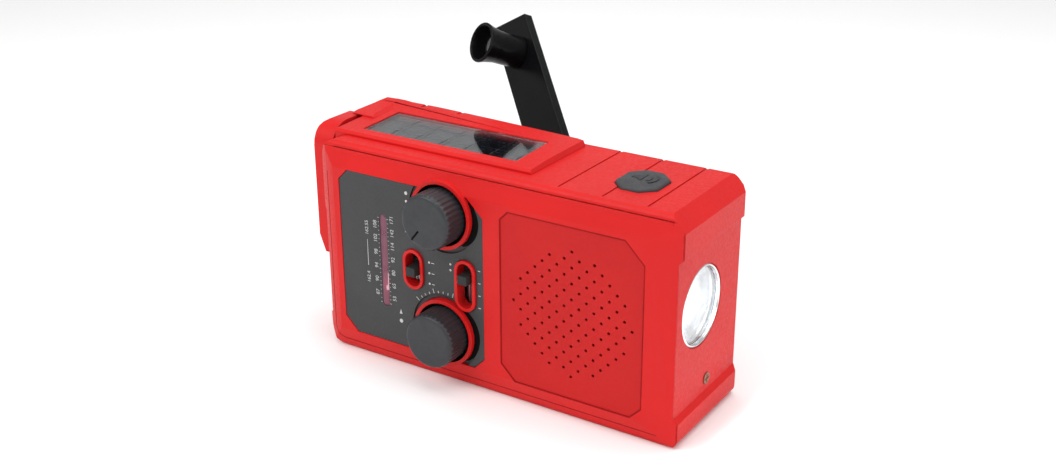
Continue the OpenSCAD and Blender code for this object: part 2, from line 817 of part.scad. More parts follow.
module lamp_bezel() color("#cfd2d4") {
    x = lamp_rim_x;
    lamp_turned() polygon([[13, x - 2.4], [lamp_radius, x - 2.4], [lamp_radius, x + 0.6],
                           [13.4, x + 1], [13, x + 0.6]]);
}

module lamp_lens() color("#e6ecf0") {
    x = lamp_rim_x;
    lamp_turned() polygon(concat([[0, x - 1.2], [12.9, x - 1.2], [12.9, x - 0.3]],
                                 [for (r = [9, 6, 3, 0]) [r, x + 0.7 - r * r / 170]]));
}

module lamp_reflector() color("#d8dadc") {
    x = lamp_rim_x - 1.3;
    depth = 11;
    inner = [for (i = [0:6]) [12.2 * sqrt(0.06 + 0.94 * i / 6), x - depth + depth * i / 6]];
    lamp_turned() polygon(concat(inner, [for (i = [6:-1:0]) [inner[i][0] + 0.7, inner[i][1]]]));
}

module lamp_led() color("#f4f1c8") {
    x = lamp_rim_x - 12.4;
    bar_x(lamp_y, lamp_z, x - 1.6, x - 0.1, 8);
    lamp_turned() polygon([[0, x - 0.2], [2, x - 0.2], [2, x + 1], [1.4, x + 1.8], [0, x + 2.1]]);
}

module lamp_screw() color("#8a5a3c") {
    difference() {
        union() {
            bar_x(lamp_screw_y, lamp_screw_z, lamp_wall_x - 0.65, lamp_wall_x + 0.35, 2.1);
            bar_x(lamp_screw_y, lamp_screw_z, lamp_wall_x - 6, lamp_wall_x - 0.6, 1);
        }
        translate([lamp_wall_x, lamp_screw_y, lamp_screw_z]) {
            block([0, -1.6, -0.3], [9, 1.6, 0.3]);
            block([0, -0.3, -1.6], [9, 0.3, 1.6]);
        }
    }
}

// --- Left end --------------------------------------------------------------------------------

// Outline of the socket cover seen from the front, with a slanted foot
module port_outline(shrink) {
    left = port_cover_left + shrink;
    right = -left_x - 0.4 - shrink;
    top = port_cover_top - shrink;
    bulge = 3.5 - shrink;
    polygon(concat(
        [[right, top]],
        arc(left + bulge, top - bulge, bulge, 90, 180, 4),
        [[left, port_pin_z + 6], [left + 2.5, port_pin_z - 0.7 + shrink],
         [right, port_pin_z - 0.7 + shrink]]
    ));
}

// Outline of the socket cover seen from its end, with a rounded top
module port_arch(shrink) {
    half = port_half - shrink;
    top = port_cover_top - shrink;
    round = 9 - shrink;
    polygon(concat(
        [[-half, port_pin_z - 8], [half, port_pin_z - 8]],
        arc(half - round, top - round, round, 0, 90),
        arc(round - half, top - round, round, 90, 180)
    ));
}

module port_cover() color("#d92b2b") {
    sill = port_pin_z + 6;
    difference() {
        intersection() {
            union() {
                slab_y(-port_half, port_half) port_outline(0);
                translate([port_pin_x, -port_half, port_pin_z]) rotate([-90, 0, 0])
                    cylinder(h = 2 * port_half, r = 1.9);
            }
            slab_x(-100, -60) port_arch(0);
        }
        // Hollow that clears the sockets, open towards the case
        intersection() {
            slab_x(-100, -60) port_arch(2);
            slab_y(-port_half, port_half) union() {
                difference() {
                    port_outline(2);
                    translate([-left_x - 12, 0]) square([12, sill]);
                }
                translate([-left_x - 3, sill]) square([14, port_cover_top - 2 - sill]);
            }
        }
        bar_y(port_pin_x, port_pin_z, -20, 20, 0.85);
        for (side = [-1, 1]) block([port_pin_x - 2.8, side * 9 - 2, port_pin_z - 5],
                                   [-60, side * 9 + 2, port_pin_z + 3.2]);
    }
}

// Pin of the port cover, held in two ears that stand on the end face
module port_hinge_pin() color("#b0b4b8") {
    bar_y(port_pin_x, port_pin_z, -port_half, port_half, 0.8);
    for (side = [-1, 1]) {
        block([port_pin_x, side * 9 - 1.7, port_pin_z - 1.6],
              [-left_x + left_recess - 0.05, side * 9 + 1.7, port_pin_z + 1.6]);
        bar_y(port_pin_x, port_pin_z, side * 9 - 1.7, side * 9 + 1.7, 1.6);
    }
}

module port_block() color("#1f2022") translate([-left_x, 0, 0]) {
    difference() {
        block([-1.6, -8.8, 43.3], [9, 2.8, 72.7]);
        // Charging input, power output and headphone socket, from the top down
        slab_x(-9, 5) slot_outline(-3, 68, 1.6, 4.4);
        block([-9, -5.6, 50.6], [7, -0.4, 62]);
        bar_x(-3, 46.6, -9, 8, 1.8);
    }
    block([-0.6, -3.6, 51.6], [7.1, -2.2, 61]);
}

// --- Battery ---------------------------------------------------------------------------------

module battery_tray() color("#2a2b2d") {
    x0 = door_left + 0.6;
    x1 = tray_right;
    inner = battery_radius + 0.5;
    difference() {
        block([x0, -1.8, battery_z - inner - 1], [x1, inner_back_y - 0.1, battery_z + inner + 1]);
        block([x0 + 1.2, battery_y, battery_z - inner], [x1 - 1.2, 30, battery_z + inner]);
        bar_x(battery_y, battery_z, x0 + 1.2, x1 - 1.2, inner);
    }
}

module battery_cell() color("#3f7fae") {
    left = battery_x - battery_length / 2;
    bar_x(battery_y, battery_z, left, left + battery_length - 1, battery_radius - 0.1);
    bar_x(battery_y, battery_z, left + battery_length - 1.1, left + battery_length, 3);
}

module battery_contacts() color("#c8ccd0") {
    left = door_left + 1.9;
    right = tray_right - 1.3;
    block([right - 0.5, battery_y - 4, battery_z - 4], [right, battery_y + 4, battery_z + 4]);
    block([left, battery_y - 4, battery_z - 4], [left + 0.4, battery_y + 4, battery_z + 4]);
}

module battery_door() color("#cf2828") {
    mid = (door_low + door_high) / 2;
    difference() {
        slab_y(back_y - door_thick, back_y)
            cut_rect(door_left, door_low, door_right, door_high, [2, 2, 2, 2]);
        for (i = [-3:3]) block([door_left + 6, back_y - 0.5, mid + i * 2 - 0.4],
                               [door_left + 16, back_y + 1, mid + i * 2 + 0.4]);
        bar_y(door_right - 3.2, mid, -40, 40, 1.3);
        bar_y(door_right - 3.2, mid, back_y - 0.8, 40, 2.5);
    }
}

module door_screw() color("#9da1a5") {
    mid = (door_low + door_high) / 2;
    x = door_right - 3.2;
    difference() {
        union() {
            bar_y(x, mid, back_y - 0.75, back_y - 0.05, 2.3);
            bar_y(x, mid, back_y - 5.4, back_y - 0.7, 1.2);
        }
        block([x - 3, back_y - 0.5, mid - 0.3], [x + 3, 40, mid + 0.3]);
    }
}

// --- Aerial -------------------------------------------------------------------------------

module ferrite_rod() color("#3b3330") bar_x(aerial_y, aerial_z, -66, -14, 4);

module antenna_coil() color("#b5713a") {
    difference() {
        bar_x(aerial_y, aerial_z, -62, -42, 4.8);
        bar_x(aerial_y, aerial_z, -70, -40, 4.02);
    }
}

// --- Crank and charging gears -----------------------------------------------------------

// Turns the crank's own directions, arm along -X, to its rest angle about the turning axis
module crank_frame() {
    translate([hub_x, 0, hub_z]) rotate([0, crank_turn, 0]) children();
}

// Opens the arm about the fold pin; children see the pin at the origin
module arm_frame() {
    crank_frame() translate([-pin_offset, pin_y, 0]) rotate([0, 0, -crank_open]) children();
}

module crank_bush() color("#d8c27a") {
    difference() {
        bar_y(hub_x, hub_z, hub_recess_y - 5, hub_recess_y - 0.1, 4.5);
        bar_y(hub_x, hub_z, 0, 40, crank_shaft_radius + run_gap);
    }
}

module crank_shaft() color("#b8bcc0") {
    bar_y(hub_x, hub_z, layer_b - 0.3, hub_recess_y + 2.2, crank_shaft_radius);
}

module crank_hub() color("#141516") {
    crank_frame() difference() {
        union() {
            bar_y(0, 0, hub_recess_y + 0.3, back_y + 0.9, hub_radius);
            block([-pin_offset, hub_recess_y + 0.3, -lug_half], [0, back_y + 0.9, lug_half]);
            translate([-pin_offset, pin_y, 0]) bar_z(0, 0, -lug_half, lug_half, knuckle_radius);
            block([-pin_offset - 0.6, back_y, -lug_half], [-pin_offset + 2, pin_y, lug_half]);
        }
        bar_y(0, 0, 0, hub_recess_y + 2.25, crank_shaft_radius + 0.02);
        translate([-pin_offset, pin_y, 0]) bar_z(0, 0, -20, 20, pin_radius + run_gap);
    }
}

module fold_pin() color("#b0b4b8") {
    crank_frame() translate([-pin_offset, pin_y, 0])
        bar_z(0, 0, -arm_width / 2 + 0.4, arm_width / 2 - 0.4, pin_radius);
}

// Outline of the arm seen from the back, with its slanted tip
module arm_outline(shrink) {
    half = arm_width / 2 - shrink;
    polygon([
        [-knuckle_radius, -half], [-knuckle_radius, half], [-arm_length + shrink, half],
        [-arm_length - arm_slant + shrink, -half]
    ]);
}

module crank_arm() color("#16171a") {
    half = arm_width / 2;
    arm_frame() difference() {
        union() {
            slab_y(-arm_thick / 2, arm_thick / 2) arm_outline(0);
            for (side = [-1, 1]) translate([0, 0, side > 0 ? lug_half + 0.1 : -half]) {
                cylinder(h = half - lug_half - 0.1, r = knuckle_radius);
                translate([-knuckle_radius - 0.5, -arm_thick / 2, 0])
                    cube([knuckle_radius + 0.5, arm_thick, half - lug_half - 0.1]);
            }
        }
        // Shallow panel on the outside face, and the bores for the pin and the knob's rivet
        slab_y(arm_thick / 2 - 0.8, arm_thick) arm_outline(2.2);
        block([-3.2, -5, -lug_half - 0.1], [5, 5, lug_half + 0.1]);
        bar_z(0, 0, -30, 30, pin_radius + 0.02);
        bar_y(-arm_length + arm_knob_inset, 0, -10, 10, 2.02);
    }
}

module knob_rivet() color("#b0b4b8") {
    arm_frame() translate([-arm_length + arm_knob_inset, 0, 0]) {
        bar_y(0, 0, -arm_thick / 2 - crank_knob_length + 5.6, arm_thick / 2 - 0.8, 2);
        bar_y(0, 0, -arm_thick / 2 - crank_knob_length + 5, -arm_thick / 2 - crank_knob_length + 5.7, 3.4);
        bar_y(0, 0, arm_thick / 2 - 0.75, arm_thick / 2, 3.2);
    }
}

module crank_knob() color("#0f1011") {
    face = -arm_thick / 2 - 0.15;
    arm_frame() translate([-arm_length + arm_knob_inset, face, 0]) rotate([90, 0, 0])
        rotate_extrude() polygon([
            [2.1, 0], [6.3, 0], [6.1, 3], [6.2, crank_knob_length - 7],
            [7, crank_knob_length - 3], [7.7, crank_knob_length - 0.6], [7.4, crank_knob_length - 0.15],
            [6.6, crank_knob_length - 0.15], [5.8, crank_knob_length - 3],
            [5, crank_knob_length - 6], [2.1, crank_knob_length - 6]
        ]);
}

// A tooth of the drive gear points at the idler, so the idler's pinion has a gap there
drive_mesh = -60;
rotor_mesh = -40;
idler_phase = drive_mesh + 180 + 180 / pinion_teeth;

module drive_gear() color("#e7e2d2") {
    difference() {
        gear(hub_x, hub_z, layer_b, drive_teeth, drive_mesh);
        bar_y(hub_x, hub_z, 0, 30, crank_shaft_radius + 0.02);
        for (a = [0:60:300])
            bar_y(hub_x + 6.4 * cos(a), hub_z + 6.4 * sin(a), 0, 30, 1.8);
    }
}

module idler_gear() color("#f0ede4") {
    difference() {
        union() {
            gear(idler_x, idler_z, layer_a, idler_teeth, rotor_mesh);
            gear(idler_x, idler_z, layer_b, pinion_teeth, idler_phase);
            bar_y(idler_x, idler_z, layer_a + gear_thick - 0.1, layer_b + 0.1, 3.4);
        }
        bar_y(idler_x, idler_z, 0, 30, 1.45 + run_gap);
    }
}

module idler_axle() color("#b0b4b8") {
    bar_y(idler_x, idler_z, plate_y + 0.1, inner_back_y - 1.1, 1.45);
}

module generator_rotor() color("#c2c6ca") {
    gear(rotor_x, rotor_z, layer_a, pinion_teeth, rotor_mesh + 180 + 180 / pinion_teeth);
    bar_y(rotor_x, rotor_z, layer_a + gear_thick - 0.1, can_back - 1.2, 1);
    bar_y(rotor_x, rotor_z, can_front + 1.6, can_back - 1.6, can_radius - 4);
}

module generator_can() color("#9fa4a8") {
    difference() {
        bar_y(rotor_x, rotor_z, can_front, can_back, can_radius);
        bar_y(rotor_x, rotor_z, can_front + 1.2, can_back - 1, can_radius - 3.4);
        bar_y(rotor_x, rotor_z, 0, can_back - 0.8, 1 + run_gap);
    }
}

module gear_plate() color("#d4d0c4") {
    difference() {
        slab_y(plate_y, plate_y + gear_plate_thick) polygon([
            [-12, 43], [5, 26], [34, 26], [40, 34], [40, 60], [34, 63], [-8, 60], [-12, 56]
        ]);
        bar_y(idler_x, idler_z, 0, 30, 1.47);
        for (p = plate_posts) bar_y(p[0], p[1], 0, 30, screw_radius);
    }
}

// --- Fasteners -----------------------------------------------------------------------------

module board_screws() color("#85898d") {
    seat = board_y + board_thick + 0.02;
    for (p = board_places) difference() {
        union() {
            bar_y(p[0], p[1], seat, seat + 1.1, 2.3);
            bar_y(p[0], p[1], seat - 8, seat + 0.1, 1.05);
        }
        block([p[0] - 3, seat + 0.6, p[1] - 0.3], [p[0] + 3, 40, p[1] + 0.3]);
    }
}

module plate_screws() color("#85898d") {
    for (p = plate_posts) {
        bar_y(p[0], p[1], plate_y - 1.1, plate_y - 0.02, 2.4);
        bar_y(p[0], p[1], plate_y - 0.1, plate_y + 9, screw_radius - 0.1);
    }
}

module case_screws() color("#85898d") {
    for (p = boss_places) {
        difference() {
            bar_y(p[0], p[1], back_y - 1.15, back_y - 0.15, 2.6);
            block([p[0] - 1.6, back_y - 0.7, p[1] - 0.3], [p[0] + 1.6, 40, p[1] + 0.3]);
            block([p[0] - 0.3, back_y - 0.7, p[1] - 1.6], [p[0] + 0.3, 40, p[1] + 1.6]);
        }
        bar_y(p[0], p[1], back_y - 9, back_y - 1.1, screw_radius - 0.25);
    }
}

rear_housing();
front_cover();
dial_plate();
dial_window();
dial_pointer();
pointer_rail();
dial_cord();
cord_drum();
tuning_shaft();
tuning_knob();
tuning_capacitor();
volume_shaft();
volume_knob();
volume_potentiometer();
band_lever();
band_switch();
function_lever();
function_switch();
main_board();
speaker_grille();
speaker_frame();
speaker_magnet();
speaker_cone();
solar_frame();
solar_cell();
solar_glass();
alarm_button();
alarm_switch();
button_board();
lamp_bezel();
lamp_lens();
lamp_reflector();
lamp_led();
lamp_screw();
port_cover();
port_hinge_pin();
port_block();
battery_tray();
battery_cell();
battery_contacts();
battery_door();
door_screw();
ferrite_rod();
antenna_coil();
crank_bush();
crank_shaft();
crank_hub();
fold_pin();
crank_arm();
knob_rivet();
crank_knob();
drive_gear();
idler_gear();
idler_axle();
gear_plate();
generator_can();
generator_rotor();
board_screws();
plate_screws();
case_screws();
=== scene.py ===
import json
import math

import bmesh
import bpy
from mathutils import Matrix, Vector


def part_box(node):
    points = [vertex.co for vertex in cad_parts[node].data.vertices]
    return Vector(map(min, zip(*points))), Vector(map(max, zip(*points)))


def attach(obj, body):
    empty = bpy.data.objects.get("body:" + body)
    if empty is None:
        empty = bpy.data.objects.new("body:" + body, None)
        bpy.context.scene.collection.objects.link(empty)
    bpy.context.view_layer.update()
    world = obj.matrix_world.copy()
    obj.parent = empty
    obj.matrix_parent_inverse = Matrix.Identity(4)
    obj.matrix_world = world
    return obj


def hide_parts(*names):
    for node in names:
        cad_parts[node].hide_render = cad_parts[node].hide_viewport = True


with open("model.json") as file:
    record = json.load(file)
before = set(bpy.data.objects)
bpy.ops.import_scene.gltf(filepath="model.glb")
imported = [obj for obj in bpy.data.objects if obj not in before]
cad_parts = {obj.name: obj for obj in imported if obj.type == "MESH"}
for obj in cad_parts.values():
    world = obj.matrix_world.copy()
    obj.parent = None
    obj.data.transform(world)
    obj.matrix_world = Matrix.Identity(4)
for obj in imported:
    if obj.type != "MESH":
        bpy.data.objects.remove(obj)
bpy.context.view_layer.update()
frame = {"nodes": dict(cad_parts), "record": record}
MM = 0.001

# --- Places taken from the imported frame, in millimetres -----------------------------------


def box_mm(node):
    low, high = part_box(node)
    return low / MM, high / MM


def middle(node):
    low, high = box_mm(node)
    return (low + high) / 2


# --- Materials ------------------------------------------------------------------------------


class Shader:
    """A node material under construction: a Principled surface and short ways to add to it."""

    def __init__(self, name, color, roughness, metallic=0.0, specular=0.5):
        self.material = bpy.data.materials.new(name)
        self.material.use_nodes = True
        self.nodes = self.material.node_tree.nodes
        self.links = self.material.node_tree.links
        self.surface = self.nodes["Principled BSDF"]
        self.output = self.nodes["Material Output"]
        self.surface.inputs["Base Color"].default_value = (*color, 1)
        self.surface.inputs["Roughness"].default_value = roughness
        self.surface.inputs["Metallic"].default_value = metallic
        self.surface.inputs["Specular IOR Level"].default_value = specular
        self.color = color
        self.place = self.nodes.new("ShaderNodeTexCoord").outputs["Object"]

    def noise(self, scale, detail=3.0, stretch=(1, 1, 1)):
        mapping = self.nodes.new("ShaderNodeMapping")
        mapping.inputs["Scale"].default_value = stretch
        self.links.new(self.place, mapping.inputs["Vector"])
        noise = self.nodes.new("ShaderNodeTexNoise")
        noise.inputs["Scale"].default_value = scale
        noise.inputs["Detail"].default_value = detail
        self.links.new(mapping.outputs["Vector"], noise.inputs["Vector"])
        return noise.outputs["Fac"]

    def cells(self, scale):
        cells = self.nodes.new("ShaderNodeTexVoronoi")
        cells.inputs["Scale"].default_value = scale
        self.links.new(self.place, cells.inputs["Vector"])
        return cells.outputs["Distance"]

    def ramp(self, value, low, high, from_low=0.35, from_high=0.65):
        span = self.nodes.new("ShaderNodeMapRange")
        span.inputs["From Min"].default_value = from_low
        span.inputs["From Max"].default_value = from_high
        span.inputs["To Min"].default_value = low
        span.inputs["To Max"].default_value = high
        self.links.new(value, span.inputs["Value"])
        return span.outputs["Result"]

    def mix_color(self, amount, first, second):
        mix = self.nodes.new("ShaderNodeMix")
        mix.data_type = "RGBA"
        self.links.new(amount, mix.inputs["Factor"])
        for socket, value in (("A", first), ("B", second)):
            target = [s for s in mix.inputs if s.name == socket and s.type == "RGBA"][0]
            if isinstance(value, tuple):
                target.default_value = (*value, 1)
            else:
                self.links.new(value, target)
        return [s for s in mix.outputs if s.type == "RGBA"][0]

    def mottle(self, scale, spread):
        """Slow drift of the colour between a darker and a lighter tone."""
        dark = tuple(c * (1 - spread) for c in self.color)
        light = tuple(min(1, c * (1 + spread)) for c in self.color)
        tone = self.mix_color(self.ramp(self.noise(scale), 0, 1), dark, light)
        self.links.new(tone, self.surface.inputs["Base Color"])
        self.tone = tone
        return self

    def vary_roughness(self, scale, low, high):
        value = self.ramp(self.noise(scale, 5), low, high)
        self.links.new(value, self.surface.inputs["Roughness"])
        return self

    def grain(self, scale, depth_mm, edge_mm=0.0):
        """Fine surface relief, over normals that are rounded across sharp edges."""
        bump = self.nodes.new("ShaderNodeBump")
        bump.inputs["Distance"].default_value = depth_mm * MM
        bump.inputs["Strength"].default_value = 1.0
        self.links.new(self.noise(scale, 2.5), bump.inputs["Height"])
        if edge_mm:
            bevel = self.nodes.new("ShaderNodeBevel")
            bevel.samples = 4
            bevel.inputs["Radius"].default_value = edge_mm * MM
            self.links.new(bevel.outputs["Normal"], bump.inputs["Normal"])
        self.links.new(bump.outputs["Normal"], self.surface.inputs["Normal"])
        return self

    def paint_edge_highlight(self, radius_mm, color, amount):
        """Painted highlight: lightens the colour along convex and concave edges, broken up by
        noise.
        """
        bevel = self.nodes.new("ShaderNodeBevel")
        bevel.samples = 4
        bevel.inputs["Radius"].default_value = radius_mm * MM
        geometry = self.nodes.new("ShaderNodeNewGeometry")
        dot = self.nodes.new("ShaderNodeVectorMath")
        dot.operation = "DOT_PRODUCT"
        self.links.new(bevel.outputs["Normal"], dot.inputs[0])
        self.links.new(geometry.outputs["True Normal"], dot.inputs[1])
        edge = self.ramp(dot.outputs["Value"], amount, 0, 0.82, 0.99)
        broken = self.nodes.new("ShaderNodeMath")
        broken.operation = "MULTIPLY"
        self.links.new(edge, broken.inputs[0])
        self.links.new(self.ramp(self.noise(420, 4), 0, 1, 0.4, 0.7), broken.inputs[1])
        first = getattr(self, "tone", self.color)
        tone = self.mix_color(broken.outputs["Value"], first, color)
        self.links.new(tone, self.surface.inputs["Base Color"])
        self.tone = tone
        return self


def red_case(name, color, grain_mm, roughness):
    shader = Shader(name, color, roughness, specular=0.2)
    shader.mottle(38, 0.035)
    # Painted highlight: lighter red along the case's edges
    shader.paint_edge_highlight(0.5, (0.75, 0.06, 0.055), 0.3)
    shader.vary_roughness(900, roughness - 0.06, roughness + 0.08)
    return shader.grain(5200, grain_mm, 0.3).material


def dial_material():
    shader = Shader("dial_dark", (0.038, 0.039, 0.041), 0.5, specular=0.4)
    shader.mottle(55, 0.1)
    shader.vary_roughness(1400, 0.46, 0.6)
    return shader.grain(7000, 0.012, 0.12).material


def knob_material():
    shader = Shader("knob_black", (0.021, 0.0225, 0.026), 0.42, specular=0.45)
    shader.mottle(120, 0.12)
    # Painted highlight: lighter grey along the knob's edges
    shader.paint_edge_highlight(0.3, (0.11, 0.11, 0.115), 0.3)
    shader.vary_roughness(700, 0.36, 0.52)
    return shader.grain(4200, 0.01).material


def rubber_material():
    shader = Shader("button_rubber", (0.052, 0.052, 0.056), 0.62, specular=0.35)
    shader.mottle(180, 0.12)
    shader.vary_roughness(1200, 0.55, 0.72)
    return shader.grain(6500, 0.014, 0.25).material


def crank_material():
    shader = Shader("crank_black", (0.004, 0.004, 0.0047), 0.26, specular=0.11)
    shader.vary_roughness(90, 0.2, 0.27)
    # Painted highlight: a light grey line along the crank's edges
    shader.paint_edge_highlight(0.4, (0.11, 0.11, 0.115), 0.45)
    return shader.grain(260, 0.002, 0.3).material


def plain_plastic(name, color, roughness, spread=0.06, specular=0.5):
    shader = Shader(name, color, roughness, specular=specular)
    shader.mottle(150, spread)
    shader.vary_roughness(800, roughness - 0.05, roughness + 0.07)
    return shader.grain(4000, 0.008, 0.15).material


def metal(name, color, roughness, brushed=0.0):
    shader = Shader(name, color, roughness, metallic=1.0)
    shader.mottle(200, 0.04)
    lines = shader.noise(900, 3, (1, 1, 12) if brushed else (1, 1, 1))
    value = shader.ramp(lines, roughness - 0.04, roughness + 0.08 + brushed)
    shader.links.new(value, shader.surface.inputs["Roughness"])
    return shader.grain(2500, 0.002 + 0.006 * brushed, 0.15).material


def thin_glass(name, tint, reflectivity, roughness):
    """Clear cover: lets light straight through and adds a mirror of the surroundings."""
    shader = Shader(name, tint, roughness)
    clear = shader.nodes.new("ShaderNodeBsdfTransparent")
    clear.inputs["Color"].default_value = (*tint, 1)
    gloss = shader.nodes.new("ShaderNodeBsdfGlossy")
    smudge = shader.ramp(shader.noise(90, 5), roughness, roughness + 0.006)
    shader.links.new(smudge, gloss.inputs["Roughness"])
    weight = shader.nodes.new("ShaderNodeLayerWeight")
    weight.inputs["Blend"].default_value = 0.25
    share = shader.ramp(weight.outputs["Fresnel"], reflectivity, 0.75, 0.0, 1.0)
    mix = shader.nodes.new("ShaderNodeMixShader")
    shader.links.new(share, mix.inputs["Fac"])
    shader.links.new(clear.outputs["BSDF"], mix.inputs[1])
    shader.links.new(gloss.outputs["BSDF"], mix.inputs[2])
    shader.links.new(mix.outputs["Shader"], shader.output.inputs["Surface"])
    return shader.material


def window_material():
    """Milky mauve strip that only half hides the pointer behind it."""
    shader = Shader("window_mauve", (0.26, 0.1, 0.145), 0.3, specular=0.35)
    shader.mottle(90, 0.08)
    clear = shader.nodes.new("ShaderNodeBsdfTransparent")
    clear.inputs["Color"].default_value = (1, 0.85, 0.9, 1)
    mix = shader.nodes.new("ShaderNodeMixShader")
    share = shader.ramp(shader.noise(200), 0.34, 0.4)
    shader.links.new(share, mix.inputs["Fac"])
    shader.links.new(shader.surface.outputs["BSDF"], mix.inputs[1])
    shader.links.new(clear.outputs["BSDF"], mix.inputs[2])
    shader.links.new(mix.outputs["Shader"], shader.output.inputs["Surface"])
    return shader.material


def solar_material():
    shader = Shader("cell_dark", (0.012, 0.014, 0.02), 0.2, specular=0.5)
    crystals = shader.ramp(shader.cells(420), 0.0, 1.0, 0.0, 0.7)
    tone = shader.mix_color(crystals, (0.008, 0.009, 0.013), (0.018, 0.021, 0.032))
    shader.links.new(tone, shader.surface.inputs["Base Color"])
    return shader.grain(1500, 0.004).material


def reflector_material():
    """Bright metal bowl, lit from its middle. Only its inner face, towards +X, glows."""
    shader = Shader("lit_reflector", (0.9, 0.91, 0.93), 0.12, metallic=1.0)
    separate = shader.nodes.new("ShaderNodeSeparateXYZ")
    shader.links.new(shader.place, separate.inputs["Vector"])
    low = box_mm("lamp_reflector")[0].x
    glow = shader.ramp(separate.outputs["X"], 9.0, 0.8, low * MM, (low + 8) * MM)
    geometry = shader.nodes.new("ShaderNodeNewGeometry")
    facing = shader.nodes.new("ShaderNodeSeparateXYZ")
    shader.links.new(geometry.outputs["True Normal"], facing.inputs["Vector"])
    inside_only = shader.nodes.new("ShaderNodeMath")
    inside_only.operation = "MULTIPLY"
    shader.links.new(glow, inside_only.inputs[0])
    shader.links.new(shader.ramp(facing.outputs["X"], 0, 1, 0.0, 0.05), inside_only.inputs[1])
    shader.surface.inputs["Emission Color"].default_value = (1, 0.985, 0.96, 1)
    shader.links.new(inside_only.outputs["Value"], shader.surface.inputs["Emission Strength"])
    return shader.grain(900, 0.01).material


def glowing(name, color, strength):
    shader = Shader(name, color, 0.4)
    shader.mottle(300, 0.03)
    shader.surface.inputs["Emission Color"].default_value = (*color, 1)
    shader.surface.inputs["Emission Strength"].default_value = strength
    return shader.material


def board_material():
    shader = Shader("board_green", (0.02, 0.11, 0.04), 0.35)
    tracks = shader.ramp(shader.cells(500), 0, 1, 0.3, 0.34)
    tone = shader.mix_color(tracks, (0.03, 0.16, 0.06), (0.015, 0.09, 0.03))
    shader.links.new(tone, shader.surface.inputs["Base Color"])
    return shader.grain(900, 0.02).material


MATERIALS = {
    "case_red": red_case("case_red", (0.6, 0.0105, 0.0105), 0.02, 0.43),
    "panel_red": red_case("panel_red", (0.5, 0.009, 0.009), 0.05, 0.5),
    "dial_dark": dial_material(),
    "window_mauve": window_material(),
    "knob_black": knob_material(),
    "lever_grey": plain_plastic("lever_grey", (0.016, 0.02, 0.019), 0.5, specular=0.3),
    "button_rubber": rubber_material(),
    "crank_black": crank_material(),
    "white_plastic": plain_plastic("white_plastic", (0.75, 0.73, 0.68), 0.45, 0.03),
    "cell_dark": solar_material(),
    "clear_glass": thin_glass("clear_glass", (0.93, 0.95, 0.97), 0.12, 0.01),
    "chrome_trim": metal("chrome_trim", (0.8, 0.81, 0.82), 0.1),
    "steel": metal("steel", (0.5, 0.51, 0.53), 0.3, 0.1),
    "brass_metal": metal("brass_metal", (0.62, 0.45, 0.19), 0.28, 0.1),
    "board_green": board_material(),
    "dark_plastic": plain_plastic("dark_plastic", (0.014, 0.014, 0.016), 0.45),
    "cell_blue": plain_plastic("cell_blue", (0.03, 0.16, 0.36), 0.3),
    "ferrite": plain_plastic("ferrite", (0.03, 0.026, 0.024), 0.6, 0.2),
    "copper_wire": metal("copper_wire", (0.55, 0.22, 0.07), 0.35, 0.15),
    "cord_white": plain_plastic("cord_white", (0.7, 0.66, 0.56), 0.8, 0.12),
    "cone_paper": plain_plastic("cone_paper", (0.018, 0.018, 0.02), 0.85, 0.2),
}
PRINT_WHITE = plain_plastic("print_white", (0.55, 0.56, 0.55), 0.55, 0.03)
SHADOW_BLACK = plain_plastic("shadow_black", (0.003, 0.003, 0.003), 0.7, 0.1, 0.05)
SHADOW_RED = plain_plastic("shadow_red", (0.3, 0.006, 0.006), 0.6, 0.1, 0.1)
LED_WHITE = glowing("led_white", (1.0, 0.99, 0.95), 60.0)
REFLECTOR = reflector_material()

for row in frame["record"]["subparts"]:
    node = frame["nodes"][row["node"]]
    node.data.materials.clear()
    node.data.materials.append(MATERIALS[row["material_slot"]])
frame["nodes"]["lamp_led"].data.materials[0] = LED_WHITE
frame["nodes"]["lamp_reflector"].data.materials[0] = REFLECTOR
# Painted light: the dial pointer glows by itself so that it shows bright behind the window
frame["nodes"]["dial_pointer"].data.materials[0] = glowing("pointer_painted_glow", (0.95, 0.93, 0.9), 3.5)
frame["nodes"]["lamp_screw"].data.materials[0] = metal("dark_bronze", (0.3, 0.14, 0.09), 0.3, 0.1)

# --- Shared mesh work ----------------------------------------------------------------------

SOFT_EDGES_MM = {
    "rear_housing": 0.45, "front_cover": 0.35, "dial_plate": 0.12,
    "solar_frame": 0.4, "port_cover": 0.8, "battery_door": 0.25, "crank_arm": 0.5,
    "crank_hub": 0.35, "crank_knob": 0.25, "band_lever": 0.3, "function_lever": 0.3,
    "lamp_bezel": 0.15, "solar_glass": 0.12, "port_block": 0.2, "lamp_screw": 0.1,
    "knob_rivet": 0.15,
}
FLAT_FACED = {"speaker_grille"}
ROUNDED_ANGLE = math.radians(24)
SHARP_ANGLE = math.radians(32)


def soften(name, width_mm):
    """Smooth shading, and really rounded edges on a CAD node, without touching its mesh."""
    node = frame["nodes"][name]
    mesh = node.data
    if "custom_normal" in mesh.attributes:
        mesh.attributes.remove(mesh.attributes["custom_normal"])
    if name in FLAT_FACED:
        mesh.shade_flat()
        return
    mesh.shade_smooth()
    weld = node.modifiers.new("weld", "WELD")
    weld.merge_threshold = 0.00001
    if width_mm:
        flat = node.modifiers.new("flat", "DECIMATE")
        flat.decimate_type = "DISSOLVE"
        flat.angle_limit = math.radians(0.6)
        bevel = node.modifiers.new("round", "BEVEL")
        bevel.width = width_mm * MM
        bevel.segments = 3
        bevel.limit_method = "ANGLE"
        bevel.angle_limit = ROUNDED_ANGLE
        bevel.use_clamp_overlap = True
        bevel.miter_outer = "MITER_ARC"
    normals = node.modifiers.new("normals", "WEIGHTED_NORMAL")
    normals.keep_sharp = True
    normals.weight = 80
    mesh.set_sharp_from_angle(angle=SHARP_ANGLE)


for name in frame["nodes"]:
    soften(name, SOFT_EDGES_MM.get(name, 0.0))


